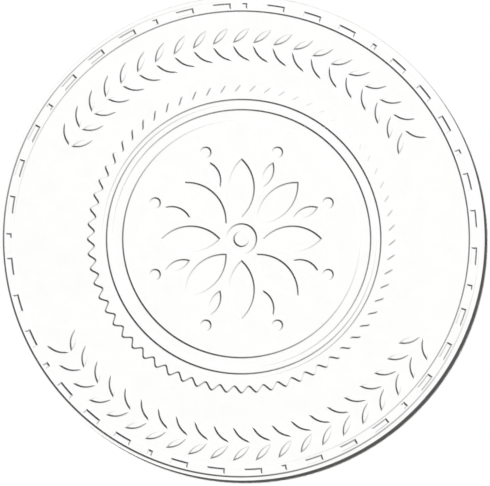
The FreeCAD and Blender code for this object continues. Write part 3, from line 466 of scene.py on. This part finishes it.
# What every finish shares: how the noise is built, and where it counts from none to full.
finishNoise = {
    "blotch": {"Detail": 3.0, "Roughness": 0.6},
    "blotchRange": (0.35, 0.65),
    "grain": {"Detail": 4.0, "Roughness": 0.55},
    "grainRange": (0.3, 0.7),
    "bump": {"Detail": 2.0},
    "edgeSamples": 6,
    "edgeRange": (0.985, 0.88),       # cosine between the true normal and the rolled one
    "edgeShare": 0.8,
}

# What each finish looks like. Grain, blotch and bump sizes are in mm on the real surface.
# roughness is where the noise swings between; stretch draws the grain out, so 0.05 means 20 times
# longer that way; edge is what rubbed edges turn to, and edgeRound how far the light rolls over.
finishes = {
    # sprayed and baked on cast iron: a soft gloss over orange peel and the swell of the casting
    "enamel": {
        "name": "StoveEnamelOnCastIron",
        "shader": {"Coat Weight": 0.35, "Coat Roughness": 0.16, "Specular IOR Level": 0.5},
        "base": "#343B41", "shade": "#2D3338", "blotch": 22.0,
        "roughness": (0.30, 0.44), "grain": 2.4, "stretch": (1, 1, 1),
        "bump": 0.035, "bumpGrain": 2.2, "edge": "#4A5157", "edgeRound": 0.9,
    },
    # pressed in a mould and dulled by its own bloom
    "rubber": {
        "name": "MouldedRubber",
        "shader": {"Specular IOR Level": 0.3},
        "base": "#232323", "shade": "#2C2B29", "blotch": 6.0,
        "roughness": (0.72, 0.90), "grain": 0.8, "stretch": (1, 1, 1),
        "bump": 0.03, "bumpGrain": 0.7, "edge": "#353431", "edgeRound": 0.6,
    },
    # cut on a lathe: rings left by the tool, and a brown bloom of handling
    "bronze": {
        "name": "TurnedBronze",
        "shader": {"Metallic": 1.0},
        "base": "#BE9557", "shade": "#9C7440", "blotch": 5.0,
        "roughness": (0.22, 0.40), "grain": 0.7, "stretch": (0.06, 0.06, 1),
        "bump": 0.008, "bumpGrain": 0.5, "edge": "#D9B77C", "edgeRound": 0.35,
    },
    # dipped and brightened zinc: pale, faintly clouded, a little blue
    "plated_steel": {
        "name": "BrightZincPlatedSteel",
        "shader": {"Metallic": 1.0},
        "base": "#B4BABD", "shade": "#A6AEB4", "blotch": 5.0,
        "roughness": (0.30, 0.40), "grain": 1.8, "stretch": (1, 1, 1),
        "bump": 0.002, "bumpGrain": 1.2, "edge": "#CDD1D2", "edgeRound": 0.3,
    },
    # blacked in hot salts and oiled: near black, bare steel just showing on corners
    "black_steel": {
        "name": "BlackOxideSteel",
        "shader": {"Metallic": 0.85},
        "base": "#303033", "shade": "#3A3633", "blotch": 3.0,
        "roughness": (0.32, 0.50), "grain": 0.9, "stretch": (1, 1, 1),
        "bump": 0.006, "bumpGrain": 0.6, "edge": "#77777A", "edgeRound": 0.3,
    },
    # polished forging under chrome: a clear mirror with the faint swell that polishing leaves
    "chrome": {
        "name": "PolishedChromePlate",
        "shader": {"Metallic": 1.0},
        "base": "#C3C7CB", "shade": "#B9BEC3", "blotch": 16.0,
        "roughness": (0.07, 0.13), "grain": 5.0, "stretch": (1, 1, 1),
        "bump": 0.02, "bumpGrain": 14.0, "edge": "#D2D5D8", "edgeRound": 0.6,
    },
    # ground round its axis and wiped with oil: fine rings across the light
    "ground_steel": {
        "name": "CylindricallyGroundSteel",
        "shader": {"Metallic": 1.0},
        "base": "#A9ABAE", "shade": "#9C9FA2", "blotch": 9.0,
        "roughness": (0.24, 0.36), "grain": 0.8, "stretch": (0.03, 0.03, 1),
        "bump": 0.002, "bumpGrain": 0.6, "edge": "#C2C4C6", "edgeRound": 0.4,
    },
    # drawn through a die and oil tempered: long streaks that follow the wire
    "spring_steel": {
        "name": "DrawnSpringSteel",
        "shader": {"Metallic": 1.0},
        "base": "#87898D", "shade": "#6B6661", "blotch": 12.0,
        "roughness": (0.26, 0.44), "grain": 0.5, "stretch": (0.04, 1, 1),
        "bump": 0.006, "bumpGrain": 0.4, "edge": "#A2A4A6", "edgeRound": 0.2, "uv": "AlongWire",
    },
    # engraved and left to tone: bright lands, brown in the cut ground
    "die_brass": {
        "name": "EngravedBrass",
        "shader": {"Metallic": 1.0},
        "base": "#CFAB62", "shade": "#B48F4B", "blotch": 6.0,
        "roughness": (0.20, 0.36), "grain": 0.8, "stretch": (1, 1, 1),
        "bump": 0.004, "bumpGrain": 0.4, "edge": "#E2C585", "edgeRound": 0.15,
    },
    # moulded with a spark-eroded skin: no shine, a fine even grain
    "grip": {
        "name": "MouldedNylonMatte",
        "shader": {"Specular IOR Level": 0.4},
        "base": "#1E1F21", "shade": "#25262A", "blotch": 9.0,
        "roughness": (0.46, 0.62), "grain": 0.9, "stretch": (1, 1, 1),
        "bump": 0.05, "bumpGrain": 0.7, "edge": "#303134", "edgeRound": 0.4,
    },
    # the same plastic from a polished mould
    "grip_cap": {
        "name": "MouldedNylonGloss",
        "shader": {"Coat Weight": 0.3, "Coat Roughness": 0.08},
        "base": "#191A1C", "shade": "#1F2023", "blotch": 8.0,
        "roughness": (0.16, 0.26), "grain": 2.0, "stretch": (1, 1, 1),
        "bump": 0.01, "bumpGrain": 5.0, "edge": "#232427", "edgeRound": 0.4,
    },
    # uncoated wove paper, pressed between the dies: matt, barely warm, short fibres in all ways
    "paper": {
        "name": "UncoatedWovePaper",
        "shader": {"Specular IOR Level": 0.15},
        "base": "#F8F8F7", "shade": "#F6F6F5", "blotch": 1.6,
        "roughness": (0.84, 0.94), "grain": 0.35, "stretch": (1, 1, 1),
        "bump": 0.003, "bumpGrain": 0.30, "edge": "#F6F6F4", "edgeRound": 0.0,
    },
}


# Two tones in slow blotches, a roughness that follows a finer grain, a bump with a grain of its
# own, and edges found by how far the normal rolls when it is averaged over a small ball.
def makeFinish(v, shared):
    material = bpy.data.materials.new(v["name"])
    material.use_nodes = True
    tree = material.node_tree
    shader = tree.nodes["Principled BSDF"]
    for socket, value in v["shader"].items():
        shader.inputs[socket].default_value = value
    if "uv" in v:
        place = addNode(tree, "ShaderNodeUVMap", uv_map=v["uv"]).outputs["UV"]
        unit = 1.0                    # such a map is in mm
    else:
        place = addNode(tree, "ShaderNodeTexCoord").outputs["Object"]
        unit = mm
    drawn = addNode(tree, "ShaderNodeMapping", {"Vector": place, "Scale": v["stretch"]}).outputs[0]
    blotch, grain, relief = [
        addNode(tree, "ShaderNodeTexNoise", {"Vector": where, "Scale": 1 / (v[size] * unit), **noise})
        for where, size, noise in ((place, "blotch", shared["blotch"]), (drawn, "grain", shared["grain"]),
                                   (drawn, "bumpGrain", shared["bump"]))]
    spread = addNode(tree, "ShaderNodeMapRange", {
        "Value": blotch.outputs["Fac"], "From Min": shared["blotchRange"][0],
        "From Max": shared["blotchRange"][1]}).outputs[0]
    colour = addNode(tree, "ShaderNodeMix", {
        "Factor": spread, colourA: linearColour(v["base"]), colourB: linearColour(v["shade"])},
        data_type="RGBA").outputs[colourOut]
    rough = addNode(tree, "ShaderNodeMapRange", {
        "Value": grain.outputs["Fac"], "From Min": shared["grainRange"][0],
        "From Max": shared["grainRange"][1], "To Min": v["roughness"][0],
        "To Max": v["roughness"][1]}).outputs[0]
    bump = addNode(tree, "ShaderNodeBump", {"Height": relief.outputs["Fac"], "Strength": 1.0,
                                            "Distance": v["bump"] * mm})
    if v["edgeRound"]:
        rolled = addNode(tree, "ShaderNodeBevel", {"Radius": v["edgeRound"] * mm},
                         samples=shared["edgeSamples"]).outputs[0]
        true = addNode(tree, "ShaderNodeNewGeometry").outputs["Normal"]
        facing = addNode(tree, "ShaderNodeVectorMath", {0: rolled, 1: true}, operation="DOT_PRODUCT")
        worn = addNode(tree, "ShaderNodeMapRange", {
            "Value": facing.outputs["Value"], "From Min": shared["edgeRange"][0],
            "From Max": shared["edgeRange"][1], "To Max": shared["edgeShare"]}).outputs[0]
        colour = addNode(tree, "ShaderNodeMix", {
            "Factor": worn, colourA: colour, colourB: linearColour(v["edge"])},
            data_type="RGBA").outputs[colourOut]
        tree.links.new(rolled, bump.inputs["Normal"])
    tree.links.new(bump.outputs[0], shader.inputs["Normal"])
    tree.links.new(rough, shader.inputs["Roughness"])
    tree.links.new(colour, shader.inputs["Base Color"])
    return material


# The toned ground of the dies, with depths in mm under their faces.
engraving = {
    "tone": "#6E5128",
    "share": 0.85,
    "start": 0.12,
    "full": 0.28,
    "end": 0.53,
    "fade": 0.05,
}


# The cut ground of a die is a band of depths under its face, and its colour is mixed in there.
def toneEngraving(material, v):
    tree = material.node_tree
    shader = tree.nodes["Principled BSDF"]
    place = addNode(tree, "ShaderNodeTexCoord").outputs["Object"]
    height = addNode(tree, "ShaderNodeSeparateXYZ", {0: place}).outputs["Z"]
    faces = ((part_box("lower_die")[1].z, -1), (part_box("upper_die")[0].z, 1))
    tones = []
    for face, inward in faces:
        begin = addNode(tree, "ShaderNodeMapRange", {
            "Value": height, "From Min": face + inward * v["start"] * mm,
            "From Max": face + inward * v["full"] * mm, "To Max": v["share"]})
        finish = addNode(tree, "ShaderNodeMapRange", {
            "Value": height, "From Min": face + inward * v["end"] * mm,
            "From Max": face + inward * (v["end"] + v["fade"]) * mm, "To Min": 1.0, "To Max": 0.0})
        tones.append(addNode(tree, "ShaderNodeMath", {0: begin.outputs[0], 1: finish.outputs[0]},
                             operation="MULTIPLY").outputs[0])
    tone = addNode(tree, "ShaderNodeMath", {0: tones[0], 1: tones[1]}, operation="MAXIMUM").outputs[0]
    plain = shader.inputs["Base Color"].links[0].from_socket
    mixed = addNode(tree, "ShaderNodeMix", {
        "Factor": tone, colourA: plain, colourB: linearColour(v["tone"])},
        data_type="RGBA").outputs[colourOut]
    tree.links.new(mixed, shader.inputs["Base Color"])


finishMaterials = {slot: makeFinish(v, finishNoise) for slot, v in finishes.items()}
toneEngraving(finishMaterials["die_brass"], engraving)
slotOfNode = {row["node"]: row["material_slot"] for row in frame["record"]["subparts"]}
for nodeName, item in frame["nodes"].items():
    item.data.materials.clear()
    item.data.materials.append(finishMaterials[slotOfNode[nodeName]])
for piece, slotName in ((seal, "paper"), (spring, "spring_steel"), (grip, "grip"),
                        (thread, "plated_steel")):
    piece.data.materials.append(finishMaterials[slotName])
print("materials:", len(finishMaterials))
# Floor, light and camera, in metres, degrees and watts, with sensor and lens in mm. Compass
# angles run clockwise from +Y.
stageValues = {
    "floorSize": 20.0,
    "floorColour": "#F2F2F0",
    "bounceShadeColour": "#000000",         # painted shade: what bounced light meets on the floor beside the seal, black so its walls stay dark
    "bounceShadeRadius": 36 * mm,
    "sensorWidth": 36.0,
    "lens": 500.0,
    "frameWidth": 42.4 * mm,          # what the camera sees across, at the seal's face
    "nearClip": 0.05,                 # share of the camera's distance
    "aimShift": (0.306 * mm, -0.355 * mm),
    # one sun lights the relief; the other lights the floor and the back of the press
    "reliefSun": {"compass": 222.5, "height": 52.0, "strength": 3.83, "spread": 3.0},
    "floorSun": {"compass": 315.0, "height": 61.6, "strength": 3.76, "spread": 9.0},
    "pressShadowShare": 0.35,         # share of the floor sun that the press itself blocks
    "skyColour": "#FFFFFF",
    "skyLevel": 0.095,
    "mirrorSky": (1.0, 0.30),         # what metal sees at the horizon and overhead
    "mirrorClimb": (0.25, 0.95),      # sine of the height where that change begins and ends
    "softboxes": (
        {"name": "FrontSoftbox", "compass": 160.0, "height": 46.0, "watts": 11.0},
        {"name": "LeftSoftbox", "compass": 275.0, "height": 22.0, "watts": 7.0},
        {"name": "RightSoftbox", "compass": 78.0, "height": 52.0, "watts": 8.0},
    ),
    "softboxSize": 0.7,
    "softboxDistance": 1.1,
    "pressMiddle": (0.0, 0.045, 0.09),
}


def compassAim(compass, height):
    flat = math.cos(math.radians(height))
    turn = math.radians(compass)
    return Vector((flat * math.sin(turn), flat * math.cos(turn), math.sin(math.radians(height))))


# a lamp that aims at middle from a distance away, and lights only its receivers
def hangLamp(name, kind, settings, middle, distance, receivers, blockers=None):
    data = bpy.data.lights.new(name, kind)
    lamp = bpy.data.objects.new(name, data)
    scene.collection.objects.link(lamp)
    back = compassAim(settings["compass"], settings["height"])
    lamp.location = middle + back * distance
    lamp.rotation_mode = "QUATERNION"
    lamp.rotation_quaternion = back.to_track_quat("Z", "Y")
    lamp.light_linking.receiver_collection = receivers
    if blockers:
        lamp.light_linking.blocker_collection = blockers
    return data


def sunLamp(name, settings, share, receivers, blockers=None):
    data = hangLamp(name, "SUN", settings, sealCentre, 1.0, receivers, blockers)
    data.energy = settings["strength"] * share
    data.angle = math.radians(settings["spread"])


def buildFloor(v):
    half = v["floorSize"] / 2
    mesh = bpy.data.meshes.new("Floor")
    mesh.from_pydata([[-half, -half, 0], [half, -half, 0], [half, half, 0], [-half, half, 0]],
                     [], [[0, 1, 2, 3]])
    floor = bpy.data.objects.new("Floor", mesh)
    scene.collection.objects.link(floor)
    material = bpy.data.materials.new("MattPaintedBoard")
    material.use_nodes = True
    tree = material.node_tree
    tree.nodes.clear()
    # painted shade: bounced light passes through the sheet, so the floor beside it is black to bounced light,
    # which keeps the seal's relief walls dark
    spot = addNode(tree, "ShaderNodeTexCoord").outputs["Object"]
    away = addNode(tree, "ShaderNodeVectorMath", {0: spot, 1: (sealCentre.x, sealCentre.y, 0.0)},
                   operation="DISTANCE").outputs["Value"]
    near = addNode(tree, "ShaderNodeMath", {0: away, 1: v["bounceShadeRadius"]}, operation="LESS_THAN")
    bounced = addNode(tree, "ShaderNodeLightPath").outputs["Is Diffuse Ray"]
    bounceShade = addNode(tree, "ShaderNodeMath", {0: near.outputs[0], 1: bounced}, operation="MULTIPLY")
    shown = addNode(tree, "ShaderNodeMix", {
        "Factor": bounceShade.outputs[0], colourA: linearColour(v["floorColour"]),
        colourB: linearColour(v["bounceShadeColour"])}, data_type="RGBA").outputs[colourOut]
    matt = addNode(tree, "ShaderNodeBsdfDiffuse", {"Color": shown})
    addNode(tree, "ShaderNodeOutputMaterial", {"Surface": matt.outputs[0]})
    mesh.materials.append(material)
    return floor


# plain white to the camera, a bright horizon under a darker ceiling to metal, and a low even
# light to everything else
def buildSky(v):
    world = bpy.data.worlds.new("Studio")
    scene.world = world
    world.use_nodes = True
    tree = world.node_tree
    tree.nodes.clear()
    path = addNode(tree, "ShaderNodeLightPath").outputs
    mirror = addNode(tree, "ShaderNodeMath", {0: path["Is Glossy Ray"], 1: path["Is Transmission Ray"]},
                     operation="MAXIMUM").outputs[0]
    look = addNode(tree, "ShaderNodeTexCoord").outputs["Generated"]
    climb = addNode(tree, "ShaderNodeSeparateXYZ", {0: look}).outputs["Z"]
    ceiling = addNode(tree, "ShaderNodeMapRange", {
        "Value": climb, "From Min": v["mirrorClimb"][0], "From Max": v["mirrorClimb"][1],
        "To Min": v["mirrorSky"][0], "To Max": v["mirrorSky"][1]}).outputs[0]
    level = addNode(tree, "ShaderNodeMix", {
        "Factor": mirror, valueA: v["skyLevel"], valueB: ceiling},
        data_type="FLOAT").outputs[valueOut]
    level = addNode(tree, "ShaderNodeMix", {
        "Factor": path["Is Camera Ray"], valueA: level, valueB: 1.0},
        data_type="FLOAT").outputs[valueOut]
    sky = addNode(tree, "ShaderNodeBackground", {
        "Color": linearColour(v["skyColour"]), "Strength": level})
    addNode(tree, "ShaderNodeOutputWorld", {"Surface": sky.outputs[0]})


# Each group is what a lamp lights, or for the floor sun what casts its shadow.
def buildLamps(v, floor):
    press = [item for item in list(frame["nodes"].values()) + pieces if item != seal]
    groups = {}
    for name, members in (("PaperOnly", [seal]), ("FloorOnly", [floor]), ("PressOnly", press),
                          ("FloorAndPress", [floor] + press)):
        groups[name] = bpy.data.collections.new(name)
        for item in members:
            groups[name].objects.link(item)
    share = v["pressShadowShare"]
    sunLamp("ReliefSun", v["reliefSun"], 1.0, groups["PaperOnly"])
    sunLamp("FloorSun", v["floorSun"], 1 - share, groups["FloorOnly"], groups["PaperOnly"])
    sunLamp("PressSun", v["floorSun"], share, groups["FloorAndPress"])
    for settings in v["softboxes"]:
        data = hangLamp(settings["name"], "AREA", settings, Vector(v["pressMiddle"]),
                        v["softboxDistance"], groups["PressOnly"])
        data.shape = "SQUARE"
        data.size = v["softboxSize"]
        data.energy = settings["watts"]


# straight down on the seal
def buildCamera(v):
    data = bpy.data.cameras.new("Camera")
    data.sensor_width = v["sensorWidth"]
    data.lens = v["lens"]
    camera = bpy.data.objects.new("Camera", data)
    scene.collection.objects.link(camera)
    distance = v["lens"] / v["sensorWidth"] * v["frameWidth"]
    camera.location = (sealCentre.x + v["aimShift"][0], sealCentre.y + v["aimShift"][1],
                       sealHigh.z + distance)
    data.clip_start = distance * v["nearClip"]
    scene.camera = camera


floorBoard = buildFloor(stageValues)
buildSky(stageValues)
buildLamps(stageValues, floorBoard)
buildCamera(stageValues)
scene.view_settings.view_transform = "Standard"
print("floor, light and camera set")
